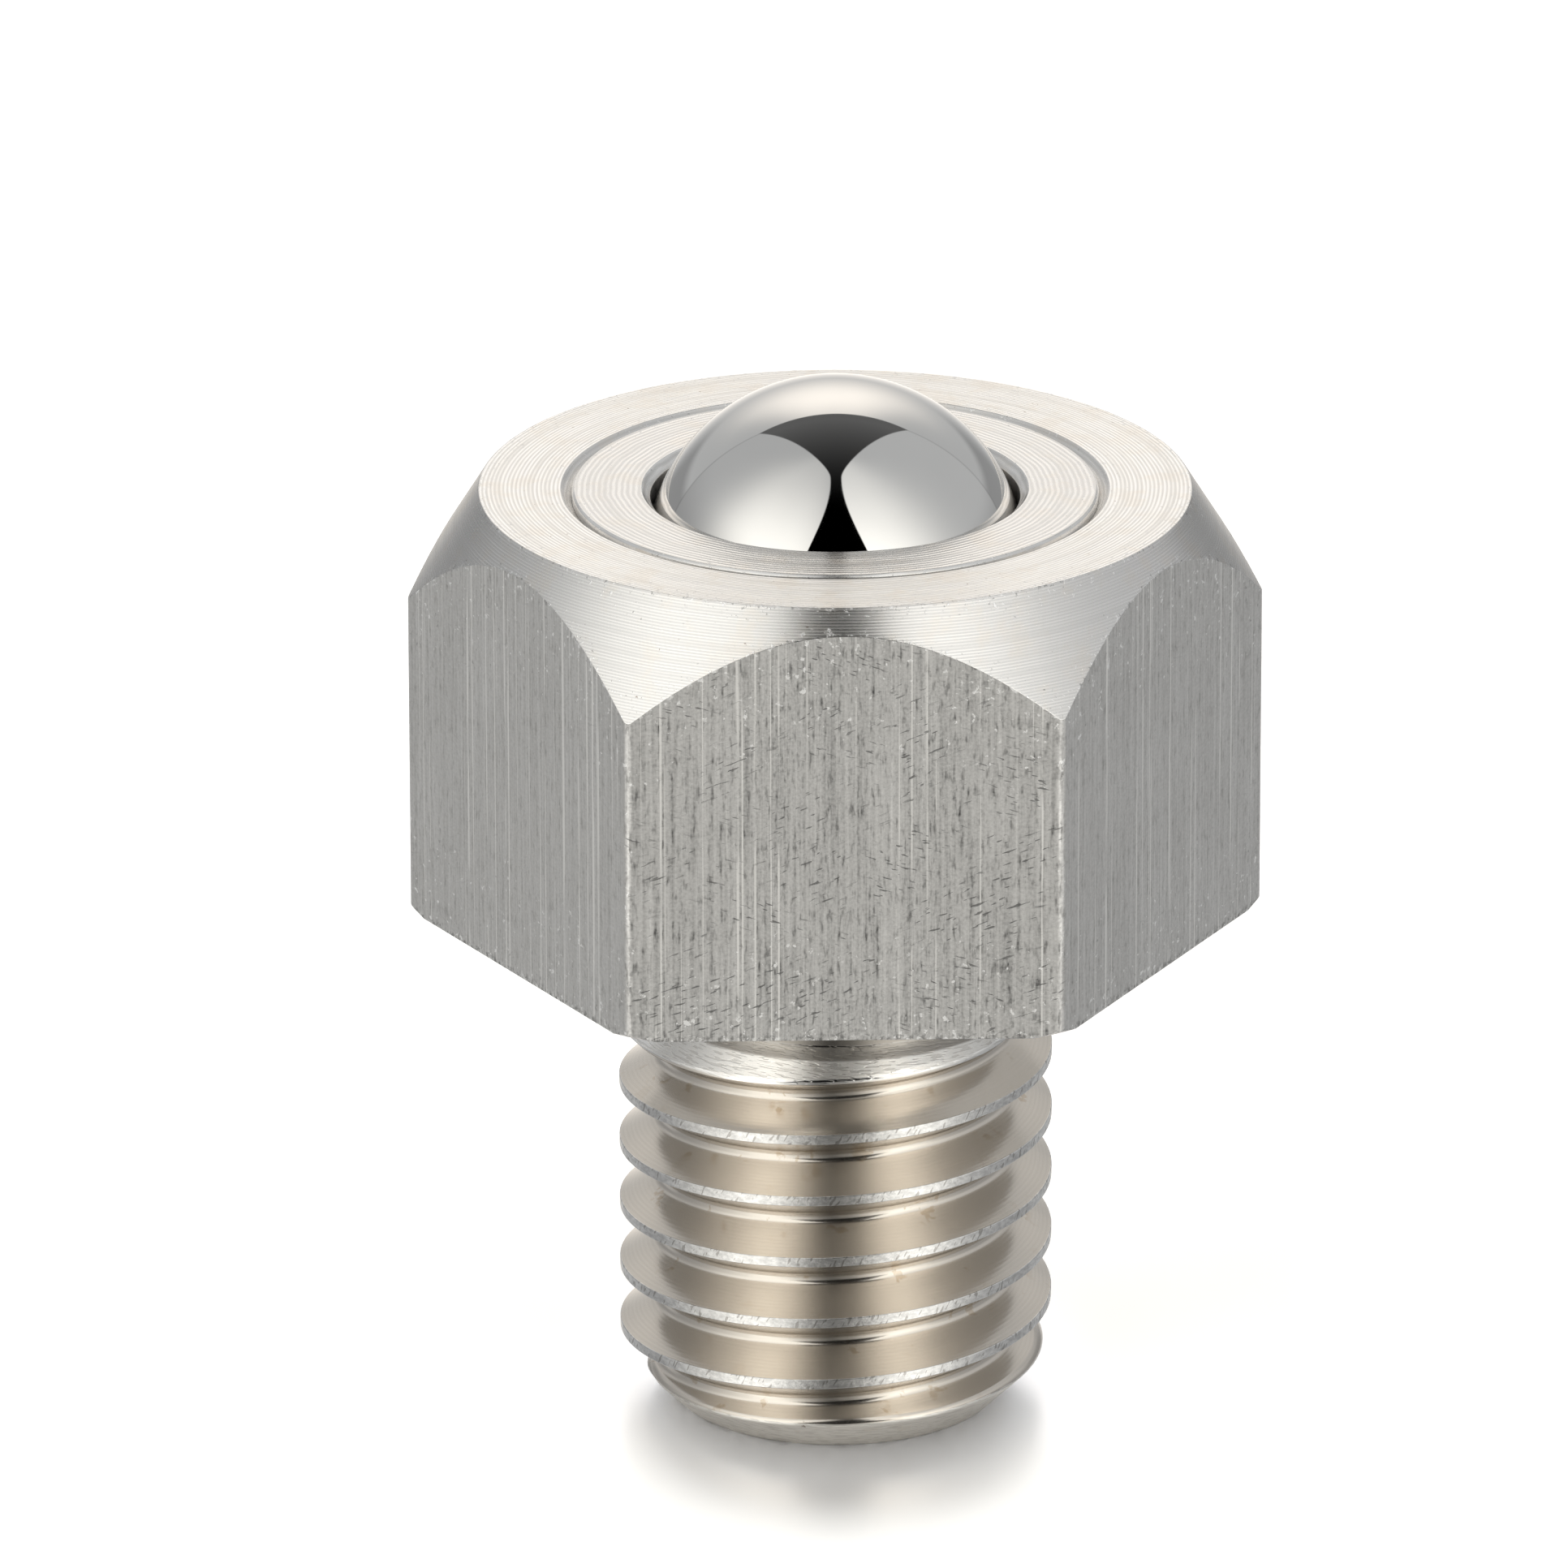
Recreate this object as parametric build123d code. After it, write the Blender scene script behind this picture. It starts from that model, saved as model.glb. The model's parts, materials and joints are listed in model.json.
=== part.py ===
from build123d import *
import math
import os

# Ball transfer unit on a threaded stud, with a hexagon head, in millimetres.
# The stud points down and its end face is at z = 0. The ball points up, and the axis is Z.
# Two of the hexagon's corners lie on the X axis, so two of its flats face -Y and +Y.

# Hexagon head, turned from drawn bar
across_flats = 16.9  # bar for a 17 mm key, at its lower limit
head_height = 10.2
corner_round = 0.25  # what the drawn bar has along its six edges
top_face_diameter = 16.2
top_chamfer_angle = 32.0  # from the axis to the cone that takes the upper corners off
seat_diameter = 18.9  # where the small chamfer on the lower corners starts
seat_chamfer_angle = 30.0  # from the underside to that chamfer

# Threaded stud: a right-hand metric coarse thread
stud_length = 11.8
thread_nominal = 10.0
thread_pitch = 1.5
thread_allowance = 0.05  # how much thinner than nominal the crests are, on the diameter
thread_crest_height = 0.9  # height of a crest's middle where it crosses the +X side
end_face_diameter = 7.5  # inside the 45 degree chamfer at the stud's end
neck_diameter = 8.05  # undercut between the thread and the head
neck_length = 1.9
neck_relief = 0.3  # 45 degree corner between the undercut and the head's underside
groove_end_gap = 0.1  # from the end of the thread's groove up to that corner

# Balls: the main ball is 11/32 inch, and the load balls under it are 1/16 inch
ball_diameter = 8.731
ball_centre_depth = 1.9  # below the head's top face
load_ball_diameter = 1.5875
ball_gap = 0.015  # between a load ball and what it rolls on
load_ball_spacing = 0.03  # between neighbouring load balls
load_ball_headroom = 0.1  # at least this much under the ring
load_ball_sides = 6  # facets round each load ball

# Retaining ring, pressed into the mouth of the ball pocket, flush with the head's top face
ring_height = 1.0
ring_edge_chamfer = 0.06
ring_grip = 0.165  # how far its lip reaches in over the ball, on the radius
ring_lip_chamfer = 0.2
ring_ball_gap = 0.03
pocket_chamfer = 0.25  # round the pocket's mouth

# Heights that follow from the sizes
seat_z = stud_length
top_z = stud_length + head_height
ball_z = top_z - ball_centre_depth
ring_z = top_z - ring_height

# Radii that follow from the sizes
ball_radius = ball_diameter / 2
load_ball_radius = load_ball_diameter / 2
load_circle_radius = ball_radius + ball_gap + load_ball_radius
pocket_radius = load_circle_radius + load_ball_radius + ball_gap
ring_lip_radius = ball_radius - ring_grip
crest_radius = (thread_nominal - thread_allowance) / 2


def turned(outline):
    """Revolves a closed half outline, drawn as (radius, height) in the XZ plane, about the axis."""
    face = make_face(outline)
    return revolve(Plane.XZ * face, axis=Axis.Z)


def head_blank():
    """The hexagon bar's length of the head, with its edges rounded, before turning."""
    corner_radius = across_flats / math.sqrt(3)
    bar = RegularPolygon(corner_radius, 6)
    bar = fillet(bar.vertices(), corner_round)
    return Pos(0, 0, seat_z) * extrude(bar, head_height)


def head_envelope():
    """What turning leaves of the bar: a cone over the upper corners and a small one under the lower."""
    top_radius = top_face_diameter / 2
    seat_radius = seat_diameter / 2
    bar_radius = across_flats / math.sqrt(3)
    cone_drop = (bar_radius - top_radius) / math.tan(math.radians(top_chamfer_angle))
    cone_rise = (bar_radius - seat_radius) * math.tan(math.radians(seat_chamfer_angle))
    outline = Polyline(
        (0, seat_z),
        (seat_radius, seat_z),
        (bar_radius, seat_z + cone_rise),
        (bar_radius, top_z - cone_drop),
        (top_radius, top_z),
        (0, top_z),
        close=True,
    )
    return turned(outline)


def ball_pocket():
    """A straight mouth that the ring is pressed into, and under it the round cup for the balls."""
    mouth_radius = pocket_radius + pocket_chamfer
    outline = Polyline(
        (0, ball_z - pocket_radius),
        (0, top_z),
        (mouth_radius, top_z),
        (pocket_radius, top_z - pocket_chamfer),
        (pocket_radius, ball_z),
    )
    outline += CenterArc((0, ball_z), pocket_radius, 0, -90)
    return turned(outline)


def stud_blank():
    """The turned stud before threading: end chamfer, thread cylinder, run-out cone and undercut."""
    neck_radius = neck_diameter / 2
    end_radius = end_face_diameter / 2
    neck_bottom = seat_z - neck_length
    outline = Polyline(
        (0, 0),
        (end_radius, 0),
        (crest_radius, crest_radius - end_radius),
        (crest_radius, neck_bottom - (crest_radius - neck_radius)),
        (neck_radius, neck_bottom),
        (neck_radius, seat_z - neck_relief),
        (neck_radius + neck_relief, seat_z),
        (0, seat_z),
        close=True,
    )
    return turned(outline)


def thread_turn():
    """One turn of the groove of an ISO metric thread, swept up a right-hand helix from height 0.

    The 60 degree flanks would meet at sharp_radius, and end at a narrow flat at root_radius.
    """
    flank_slope = math.tan(math.radians(30))
    full_height = thread_pitch * math.sqrt(3) / 2
    sharp_radius = thread_nominal / 2 - 7 / 8 * full_height
    root_radius = sharp_radius + full_height / 6
    outer_radius = (crest_radius + sharp_radius + full_height) / 2
    root_half = (root_radius - sharp_radius) * flank_slope
    outer_half = (outer_radius - sharp_radius) * flank_slope
    outline = Polyline(
        (root_radius, -root_half),
        (outer_radius, -outer_half),
        (outer_radius, outer_half),
        (root_radius, root_half),
        close=True,
    )
    section = Plane.XZ * make_face(outline)
    helix = Helix(thread_pitch, thread_pitch, root_radius)
    return sweep(section, path=helix, is_frenet=True)


def threaded(blank):
    """Cuts the groove a turn at a time, from its end in the undercut down past the end face."""
    turn = thread_turn()
    reach = turn.bounding_box().max.Z
    groove_height = thread_crest_height + thread_pitch / 2
    z = seat_z - neck_relief - groove_end_gap - reach
    while z + reach > 0:
        angle = 360 * (z - groove_height) / thread_pitch
        blank = blank - Pos(0, 0, z) * Rot(0, 0, angle) * turn
        z -= thread_pitch
    return blank


def hex_body():
    """Head and stud, turned and threaded in one piece."""
    body = head_blank() & head_envelope()
    body = body + threaded(stud_blank())
    return body - ball_pocket()


def retaining_ring():
    """Holds the balls in: a lip over the main ball, with a round seat that follows it underneath."""
    outer = pocket_radius
    lip = ring_lip_radius
    seat = ball_radius + ring_ball_gap
    lip_bottom = ball_z + math.sqrt(seat**2 - lip**2)
    seat_bottom = math.sqrt(seat**2 - (ring_z - ball_z) ** 2)
    middle_z = (lip_bottom + ring_z) / 2
    seat_middle = math.sqrt(seat**2 - (middle_z - ball_z) ** 2)
    outline = Polyline(
        (seat_bottom, ring_z),
        (outer, ring_z),
        (outer, top_z - ring_edge_chamfer),
        (outer - ring_edge_chamfer, top_z),
        (lip + ring_lip_chamfer, top_z),
        (lip, top_z - ring_lip_chamfer),
        (lip, lip_bottom),
    )
    outline += ThreePointArc((lip, lip_bottom), (seat_middle, middle_z), (seat_bottom, ring_z))
    return turned(outline)


def main_ball():
    """The ball that the load rolls on."""
    return Pos(0, 0, ball_z) * Sphere(ball_radius)


def load_ball():
    """A small ball in flat facets, which keeps the full set light, with every corner on its sphere."""
    bands = load_ball_sides // 2

    def corner(ring, place):
        polar = math.pi * ring / bands
        turn = 2 * math.pi * place / load_ball_sides
        radius = load_ball_radius * math.sin(polar)
        return (radius * math.cos(turn), radius * math.sin(turn), load_ball_radius * math.cos(polar))

    facets = []
    for ring in range(bands):
        for place in range(load_ball_sides):
            corners = [corner(ring + 1, place), corner(ring + 1, place + 1)]
            if ring == bands - 1:
                corners = [corner(bands, 0)]
            corners.append(corner(ring, place + 1))
            if ring > 0:
                corners.append(corner(ring, place))
            facets.append(Face(Wire.make_polygon(corners)))
    return Solid(Shell(facets))


def load_balls():
    """Rows of small balls between the main ball and the cup, from its lowest point to the ring."""
    ball = load_ball()
    step = load_ball_diameter + load_ball_spacing
    row_angle = 2 * math.asin(step / 2 / load_circle_radius)
    highest = ring_z - load_ball_headroom - load_ball_radius
    balls = []
    row = 0
    row_z = ball_z - load_circle_radius
    while row_z <= highest:
        row_radius = load_circle_radius * math.sin(row * row_angle)
        count = 1
        if row > 0:
            count = int(math.pi / math.asin(step / 2 / row_radius))
        for place in range(count):
            turn = 360 * (place + row / 2) / count
            balls.append(Rot(0, 0, turn) * Pos(row_radius, 0, row_z) * ball)
        row += 1
        row_z = ball_z - load_circle_radius * math.cos(row * row_angle)
    return Compound(children=balls)


parts = {
    "hex_body": hex_body(),
    "retaining_ring": retaining_ring(),
    "main_ball": main_ball(),
    "load_balls": load_balls(),
}

os.makedirs("parts", exist_ok=True)
for node, shape in parts.items():
    export_step(shape, f"parts/{node}.step")
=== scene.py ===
"""Looks for the ball transfer unit: its turned and drawn steel, its polished ball, and the studio."""

import json
import math

import bmesh
import bpy
import numpy as np
from bpy.props import FloatProperty, FloatVectorProperty, PointerProperty
from bpy.types import Operator, Panel, PropertyGroup
from mathutils import Matrix, Vector

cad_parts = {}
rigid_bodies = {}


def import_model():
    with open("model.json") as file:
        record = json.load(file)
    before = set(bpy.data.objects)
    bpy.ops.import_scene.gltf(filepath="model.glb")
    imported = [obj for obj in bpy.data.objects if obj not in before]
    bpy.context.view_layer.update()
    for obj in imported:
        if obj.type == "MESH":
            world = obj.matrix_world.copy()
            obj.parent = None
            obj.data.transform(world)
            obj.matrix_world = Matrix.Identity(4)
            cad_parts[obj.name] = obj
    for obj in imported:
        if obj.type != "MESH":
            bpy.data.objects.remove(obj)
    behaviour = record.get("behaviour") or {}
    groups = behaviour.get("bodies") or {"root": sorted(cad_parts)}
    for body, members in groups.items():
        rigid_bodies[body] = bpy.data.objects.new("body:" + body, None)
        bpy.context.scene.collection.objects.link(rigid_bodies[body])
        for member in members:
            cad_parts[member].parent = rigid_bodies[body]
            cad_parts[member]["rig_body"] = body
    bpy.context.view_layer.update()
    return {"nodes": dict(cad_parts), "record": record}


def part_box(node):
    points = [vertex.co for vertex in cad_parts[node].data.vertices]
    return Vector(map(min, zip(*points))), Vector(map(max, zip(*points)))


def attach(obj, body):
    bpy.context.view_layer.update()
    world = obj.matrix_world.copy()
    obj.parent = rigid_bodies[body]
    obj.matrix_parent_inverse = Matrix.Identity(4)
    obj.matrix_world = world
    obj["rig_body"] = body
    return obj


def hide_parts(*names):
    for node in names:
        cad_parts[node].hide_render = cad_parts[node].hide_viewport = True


bl_info = {
    "name": "Ball Transfer Unit",
    "version": (1, 0, 0),
    "blender": (4, 5, 0),
    "location": "View3D > Sidebar > Ball Unit",
    "description": "Builds the body, ring and balls of a stud-mounted ball transfer unit, and its studio",
    "category": "Add Mesh",
}

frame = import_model()

MM = 0.001
BODY_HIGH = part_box("hex_body")[1]
RING_LOW, RING_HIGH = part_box("retaining_ring")
BALL_LOW, BALL_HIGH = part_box("main_ball")
SEAT = next(m for m in frame["record"]["mounts"] if m["name"] == "head_seat")

TOP_Z = BODY_HIGH.z
SEAT_Z = SEAT["pos_m"][2]
FLAT_RADIUS = BODY_HIGH.y
BALL_RADIUS = (BALL_HIGH.z - BALL_LOW.z) / 2
BALL_Z = (BALL_HIGH.z + BALL_LOW.z) / 2
POCKET_RADIUS = RING_HIGH.x

# The body's materials, in the order of its material slots
POCKET, TOP, CONE, FLATS, UNDERSIDE, STUD = range(6)


def length(name, description, millimetres):
    """A size that a user may change."""
    return FloatProperty(
        name=name, description=description, default=millimetres * MM, min=0.0, unit="LENGTH", precision=6
    )


def angle(name, description, degrees):
    """An angle that a user may change."""
    return FloatProperty(
        name=name, description=description, default=math.radians(degrees), subtype="ANGLE"
    )


def colour(name, description, default):
    """A colour that a user may change."""
    return FloatVectorProperty(
        name=name, description=description, default=default, size=3, min=0.0, max=1.0, subtype="COLOR"
    )


def amount(name, description, default, highest=10.0):
    """A plain number that a user may change."""
    return FloatProperty(
        name=name, description=description, default=default, min=0.0, max=highest
    )


class HeadSizes(PropertyGroup):
    """The hexagon head."""

    corner_round: length("Corner Round", "Radius along the six edges of the drawn bar", 0.25)
    top_radius: length("Top Radius", "Radius of the flat top face", 8.1)
    cone_angle: angle("Cone Angle", "From the axis to the cone that takes the upper corners off", 32)
    seat_radius: length("Seat Radius", "Where the small chamfer on the lower corners starts", 9.45)
    seat_chamfer: angle("Seat Chamfer", "From the underside to the lower chamfer", 30)
    pocket_chamfer: length("Pocket Chamfer", "Chamfer round the mouth of the ball pocket", 0.25)
    edge_break: length("Edge Break", "How far the turned edges are eased", 0.016)


class StudSizes(PropertyGroup):
    """The threaded stud."""

    pitch: length("Pitch", "Pitch of the metric coarse thread", 1.5)
    nominal_radius: length("Nominal Radius", "Half the thread's nominal size", 5.0)
    crest_radius: length("Crest Radius", "Radius over the crests", 4.975)
    crest_height: length("Crest Height", "Height of a crest's middle on the +X side", 0.9)
    end_radius: length("End Radius", "Radius of the end face, inside its chamfer", 3.75)
    neck_radius: length("Neck Radius", "Radius of the undercut", 4.025)
    neck_length: length("Neck Length", "Length of the undercut", 1.9)
    neck_relief: length("Neck Relief", "Fillet between the undercut and the head", 0.3)
    edge_break: length("Edge Break", "How far the thread's edges are eased", 0.018)


class RingSizes(PropertyGroup):
    """The retaining ring."""

    grip: length("Grip", "How far the lip reaches in over the ball", 0.165)
    ball_gap: length("Ball Gap", "Between the ball and the ring's round seat", 0.03)
    lip_chamfer: length("Lip Chamfer", "Chamfer of the lip's upper edge", 0.2)
    edge_chamfer: length("Edge Chamfer", "Chamfer of the outer upper edge", 0.06)
    edge_break: length("Edge Break", "How far the turned edges are eased", 0.012)


class BallSizes(PropertyGroup):
    """The bed of load balls."""

    radius: length("Radius", "Radius of a load ball", 0.79375)
    gap: length("Gap", "Between a load ball and what it rolls on", 0.015)
    spacing: length("Spacing", "Between neighbouring load balls", 0.03)
    headroom: length("Headroom", "At least this much under the ring", 0.1)


class FinishColours(PropertyGroup):
    """The metal's colours."""

    flats: colour("Flats", "Drawn flats of the hexagon", (0.6, 0.595, 0.587))
    turned: colour("Turned", "Turned faces of the head", (0.95, 0.94, 0.92))
    cone: colour("Cone", "Turned cone over the upper corners", (0.79, 0.782, 0.77))
    thread: colour("Thread", "Thread and undercut", (0.69, 0.645, 0.585))
    crest: colour("Crest", "Flat tops of the thread", (0.69, 0.685, 0.675))
    ring: colour("Ring", "Retaining ring", (0.83, 0.825, 0.815))
    film: colour("Film", "Warm film on turned faces", (0.80, 0.72, 0.62))
    stain: colour("Stain", "Tan stains on the thread", (0.50, 0.40, 0.28))
    ball: colour("Ball", "Polished balls", (0.70, 0.695, 0.685))
    rust: colour("Rust", "Small stains", (0.16, 0.085, 0.04))


class StudioSettings(PropertyGroup):
    """The camera, the three soft lights and the floor."""

    lens: amount("Lens", "Focal length in millimetres", 391.3, 1000.0)
    azimuth: angle("Azimuth", "How far the camera stands to the side of the -Y axis", -1.295)
    elevation: angle("Elevation", "How far the camera looks down", 20.504)
    roll: angle("Roll", "Turn of the camera about its own axis", -0.103)
    distance: length("Distance", "From the camera to the top face, along its axis", 386.763)
    picture_right: length("Picture Right", "How far right of centre the top face is", 1.1613)
    picture_up: length("Picture Up", "How far above centre the top face is", 6.7555)
    light: amount("Light", "Strength of the three soft lights", 1.45)
    floor_grey: amount("Floor Grey", "Reflectance of the floor", 0.80, 1.0)
    floor_gain: amount("Floor Gain", "How much brighter the camera sees the matt floor", 2.3)
    mirror_share: amount("Mirror Share", "Share of the floor's light that it mirrors at the foot", 0.95, 1.0)
    mirror_gain: amount("Mirror Gain", "How much brighter the camera sees the floor's mirror image", 1.17)
    mirror_tint: colour("Mirror Tint", "Balances the mirror image to a neutral grey", (0.905, 0.935, 1.0))
    mirror_roughness: amount("Mirror Roughness", "Roughness of the floor's mirror image", 0.30, 1.0)
    mirror_inner: length("Mirror Inner", "Radius up to which the floor is mostly a mirror", 4.6)
    mirror_outer: length("Mirror Outer", "Radius from which the floor is only matt", 11.0)
    floor_near: length("Floor Near", "How far off the metal still sees the floor itself", 1.0)


def settings():
    """All the settings, under one name each."""
    return bpy.context.scene.ball_unit


class UnitSettings(PropertyGroup):
    """Everything that a user may change."""

    head: PointerProperty(type=HeadSizes)
    stud: PointerProperty(type=StudSizes)
    ring: PointerProperty(type=RingSizes)
    balls: PointerProperty(type=BallSizes)
    colours: PointerProperty(type=FinishColours)
    studio: PointerProperty(type=StudioSettings)


# Shapes


def hexagon_columns(flat_radius, corner_round, per_flat=28, per_corner=9):
    """Angles round the axis for one column of points each, the hexagon's radius and its wear there.

    Each flat is flat_radius / cos(angle from its middle). Each corner is an arc of corner_round
    whose centre lies on the corner's own line, and has columns of its own, close together.
    """
    arc_centre = (flat_radius - corner_round) / math.cos(math.pi / 6)
    bend = np.radians(np.linspace(-30, 30, per_corner))
    corner = np.arctan2(corner_round * np.sin(bend), arc_centre + corner_round * np.cos(bend))
    edge = corner[-1]
    beside = edge + np.radians([0.12, 0.5])
    across = np.linspace(beside[-1], math.pi / 3 - beside[-1], per_flat)
    sextant = np.concatenate([corner, beside, across[1:-1], math.pi / 3 - beside[::-1]])
    turns = np.concatenate([sextant + k * math.pi / 3 for k in range(6)] + [[corner[0] + math.tau]])
    off_corner = (turns + math.pi / 6) % (math.pi / 3) - math.pi / 6
    off_flat = math.pi / 6 - np.abs(off_corner)
    on_flat = flat_radius / np.cos(off_flat)
    reach = np.maximum(corner_round**2 - (arc_centre * np.sin(off_corner)) ** 2, 0)
    on_corner = arc_centre * np.cos(off_corner) + np.sqrt(reach)
    rounded = np.abs(off_corner) < edge
    worn = 0.35 * np.maximum(1 - (off_corner / edge) ** 2, 0)
    return turns, np.where(rounded, on_corner, on_flat), worn


def points(*coordinates):
    """Points from their coordinates, each of which is a number or an array of numbers."""
    return np.stack(np.broadcast_arrays(*coordinates), -1)


def around(radius, turns, heights):
    """The points (r cos t, r sin t, z)."""
    return points(radius * np.cos(turns), radius * np.sin(turns), heights)


class Profile:
    """Rows of points down a turned shape, one after another, each with its material and its wear."""

    def __init__(self, columns):
        self.columns = columns
        self.rows = []
        self.material = []
        self.wear = []

    def add(self, row, material, wear=0.0):
        """One row: a point for every column, or the same point for all."""
        self.rows.append(np.broadcast_to(row, (self.columns, 2)))
        self.material.append(material)
        self.wear.append(wear)

    def arc(self, centre, radius, first, last, steps, material):
        """Rows at centre + radius * (cos, sin) of an angle that runs from first to last."""
        for turn in np.radians(np.linspace(first, last, steps + 1)):
            self.add(centre + radius * points(math.cos(turn), math.sin(turn)), material)

    def run(self, corners, materials, reach, wear=1.0, guard=0.07 * MM, shares=(0.0, 0.33, 0.67, 1.0)):
        """Straight stretches from corner to corner, with every corner between them eased.

        A corner is eased by a quadratic Bezier curve that leaves both sides at `reach` from it, or at
        less where a side is short. Rows at `guard` from the curve keep the stretches flat. The wear is
        one value for all the eased corners, or one for each.
        """
        wear = np.concatenate([[0], np.broadcast_to(wear, len(corners) - 2), [0]])
        spans = [np.maximum(np.linalg.norm(b - a, axis=-1), 1e-12) for a, b in zip(corners, corners[1:])]
        eases = [np.zeros_like(spans[0])]
        eases += [np.minimum(reach, 0.3 * np.minimum(*pair)) for pair in zip(spans, spans[1:])]
        eases.append(np.zeros_like(spans[-1]))
        for index, (start, end) in enumerate(zip(corners, corners[1:])):
            span = spans[index][..., None]
            heading = (end - start) / span
            before, after = eases[index][..., None], eases[index + 1][..., None]
            margin = np.minimum(guard, (span - before - after) / 3)
            first, last = before + margin, span - after - margin
            if index == 0:
                self.add(start, materials[0])
            for share in shares:
                near_edge = 0.5 * wear[index + int(share)] if share in (0.0, 1.0) else 0.0
                self.add(start + heading * (first + (last - first) * share), materials[index], near_edge)
            if index < len(corners) - 2:
                ahead = (corners[index + 2] - end) / spans[index + 1][..., None]
                for s in (0.0, 0.25, 0.5, 0.75, 1.0):
                    bend = end - heading * after * (1 - s) ** 2 + ahead * after * s**2
                    self.add(bend, materials[index + (s > 0.5)], wear[index + 1])
        self.add(corners[-1], materials[-1])


def grid_faces(rows, columns):
    """The corner numbers of the four-sided faces between the points of a grid."""
    number = np.arange(rows * columns).reshape(rows, columns)
    corners = [number[:-1, :-1], number[:-1, 1:], number[1:, 1:], number[1:, :-1]]
    return np.stack(corners, -1).reshape(-1, 4)


def lathe(name, turns, profile, worn_columns=0.0):
    """A closed surface with the point (r cos t, r sin t, z) in each row of the profile and column t.

    The UV map has the turn as U and the length along the profile as V, in millimetres. The attribute
    `worn` is 1 on eased edges and 0 on the surfaces between them.
    """
    grid = np.array(profile.rows)
    count, columns = grid.shape[:2]
    place = around(grid[..., 0], turns, grid[..., 1])
    step = np.linalg.norm(np.diff(grid, axis=0), axis=-1)
    along = np.vstack([np.zeros((1, columns)), np.cumsum(step, axis=0)]) / MM
    on_flats = np.array(profile.material)[:, None] == FLATS
    wear = np.maximum(np.array(profile.wear)[:, None], on_flats * np.broadcast_to(worn_columns, columns))
    faces = grid_faces(count, columns)
    mesh = new_mesh(name, place.reshape(-1, 3), faces)
    laid = points(turns * FLAT_RADIUS / MM, along).reshape(-1, 2)[faces.ravel()]
    mesh.uv_layers.new(name="turned").data.foreach_set("uv", laid.ravel())
    mesh.attributes.new("worn", "FLOAT", "POINT").data.foreach_set("value", wear.ravel())
    mesh.polygons.foreach_set("material_index", np.repeat(profile.material[1:], columns - 1))
    return welded(mesh)


def new_mesh(name, places, faces):
    """A mesh of those points and faces."""
    mesh = bpy.data.meshes.new(name)
    mesh.from_pydata(places, [], faces)
    return mesh


def welded(mesh, reach=1e-8):
    """The mesh with its seam and poles closed, its faces outwards and smooth."""
    loose = bmesh.new()
    loose.from_mesh(mesh)
    bmesh.ops.remove_doubles(loose, verts=loose.verts, dist=reach)
    bmesh.ops.recalc_face_normals(loose, faces=loose.faces)
    loose.to_mesh(mesh)
    loose.free()
    mesh.shade_smooth()
    return mesh


def piece(name, mesh, node, materials):
    """An object at the origin that stands for a CAD node and rides on the node's body."""
    thing = bpy.data.objects.new(name, mesh)
    bpy.context.scene.collection.objects.link(thing)
    for material in materials:
        mesh.materials.append(material)
    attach(thing, frame["nodes"][node]["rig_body"])
    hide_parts(node)


def smaller(a, b, ease):
    """The smaller of a and b, with the ridge where they meet eased over `ease`."""
    near = np.maximum(ease - np.abs(a - b), 0) / ease
    return np.minimum(a, b) - near**2 * ease / 4


def thread_radius(turns, heights, stud, neck_top):
    """Radius of the threaded stud at a turn and a height.

    The blank is a chamfered cylinder that runs out at 45 degrees into the undercut. The groove's
    flanks are at 30 degrees to the level, and a round root joins them at H/6 from their sharp corner.
    """
    slope = math.tan(math.pi / 6)
    full = stud.pitch * math.sqrt(3) / 2
    sharp = stud.nominal_radius - full * 7 / 8
    root_round = full / 6
    neck_bottom = neck_top - stud.neck_length
    blank = smaller(stud.end_radius + heights, stud.crest_radius, stud.edge_break)
    runout = np.maximum(stud.neck_radius, stud.neck_radius + neck_bottom - heights)
    blank = smaller(blank, runout, stud.edge_break)
    groove = stud.crest_height + stud.pitch / 2 + stud.pitch * turns / math.tau
    off = np.abs((heights - groove + stud.pitch / 2) % stud.pitch - stud.pitch / 2)
    flank = sharp + off / slope
    root = sharp + 2 * root_round - np.sqrt(np.maximum(root_round**2 - off**2, 0))
    tangent = root_round * math.cos(math.pi / 6)
    groove_radius = np.where(off < tangent, root, flank)
    return smaller(blank, groove_radius, stud.edge_break)


def thread_rows(turns, stud, neck_top):
    """Rows that climb with the thread, from the undercut down to the end face.

    Row heights are the groove's height plus fixed offsets that crowd at the root and the crest.
    Rows past either end are held there, and welding closes them up.
    """
    highest = neck_top - stud.neck_length + stud.edge_break
    half = stud.pitch / 2
    crest_edge = (stud.crest_radius - stud.nominal_radius) * math.tan(math.pi / 6) + half * 7 / 8
    root = np.linspace(0, 0.19 * MM, 6)[1:]
    flank = np.linspace(0.19 * MM, crest_edge - 0.03 * MM, 5)[1:]
    crest = crest_edge + np.array([-0.018, -0.009, 0, 0.009, 0.018, 0.04]) * MM
    side = np.concatenate([root, flank, crest])
    offsets = np.concatenate([[0], side, [half], stud.pitch - side[::-1]])
    groove = stud.crest_height + half
    first = math.floor(-groove / stud.pitch) - 1
    last = math.ceil((highest - groove) / stud.pitch) + 1
    levels = [groove + stud.pitch * turn + offsets for turn in range(first, last)]
    levels = np.concatenate(levels)[::-1]
    heights = np.clip(levels[:, None] + stud.pitch * turns / math.tau, 0, highest)
    radius = thread_radius(turns, heights, stud, neck_top)
    return [row for row in points(radius, heights) if np.ptp(row[:, 1]) > 0]


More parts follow.
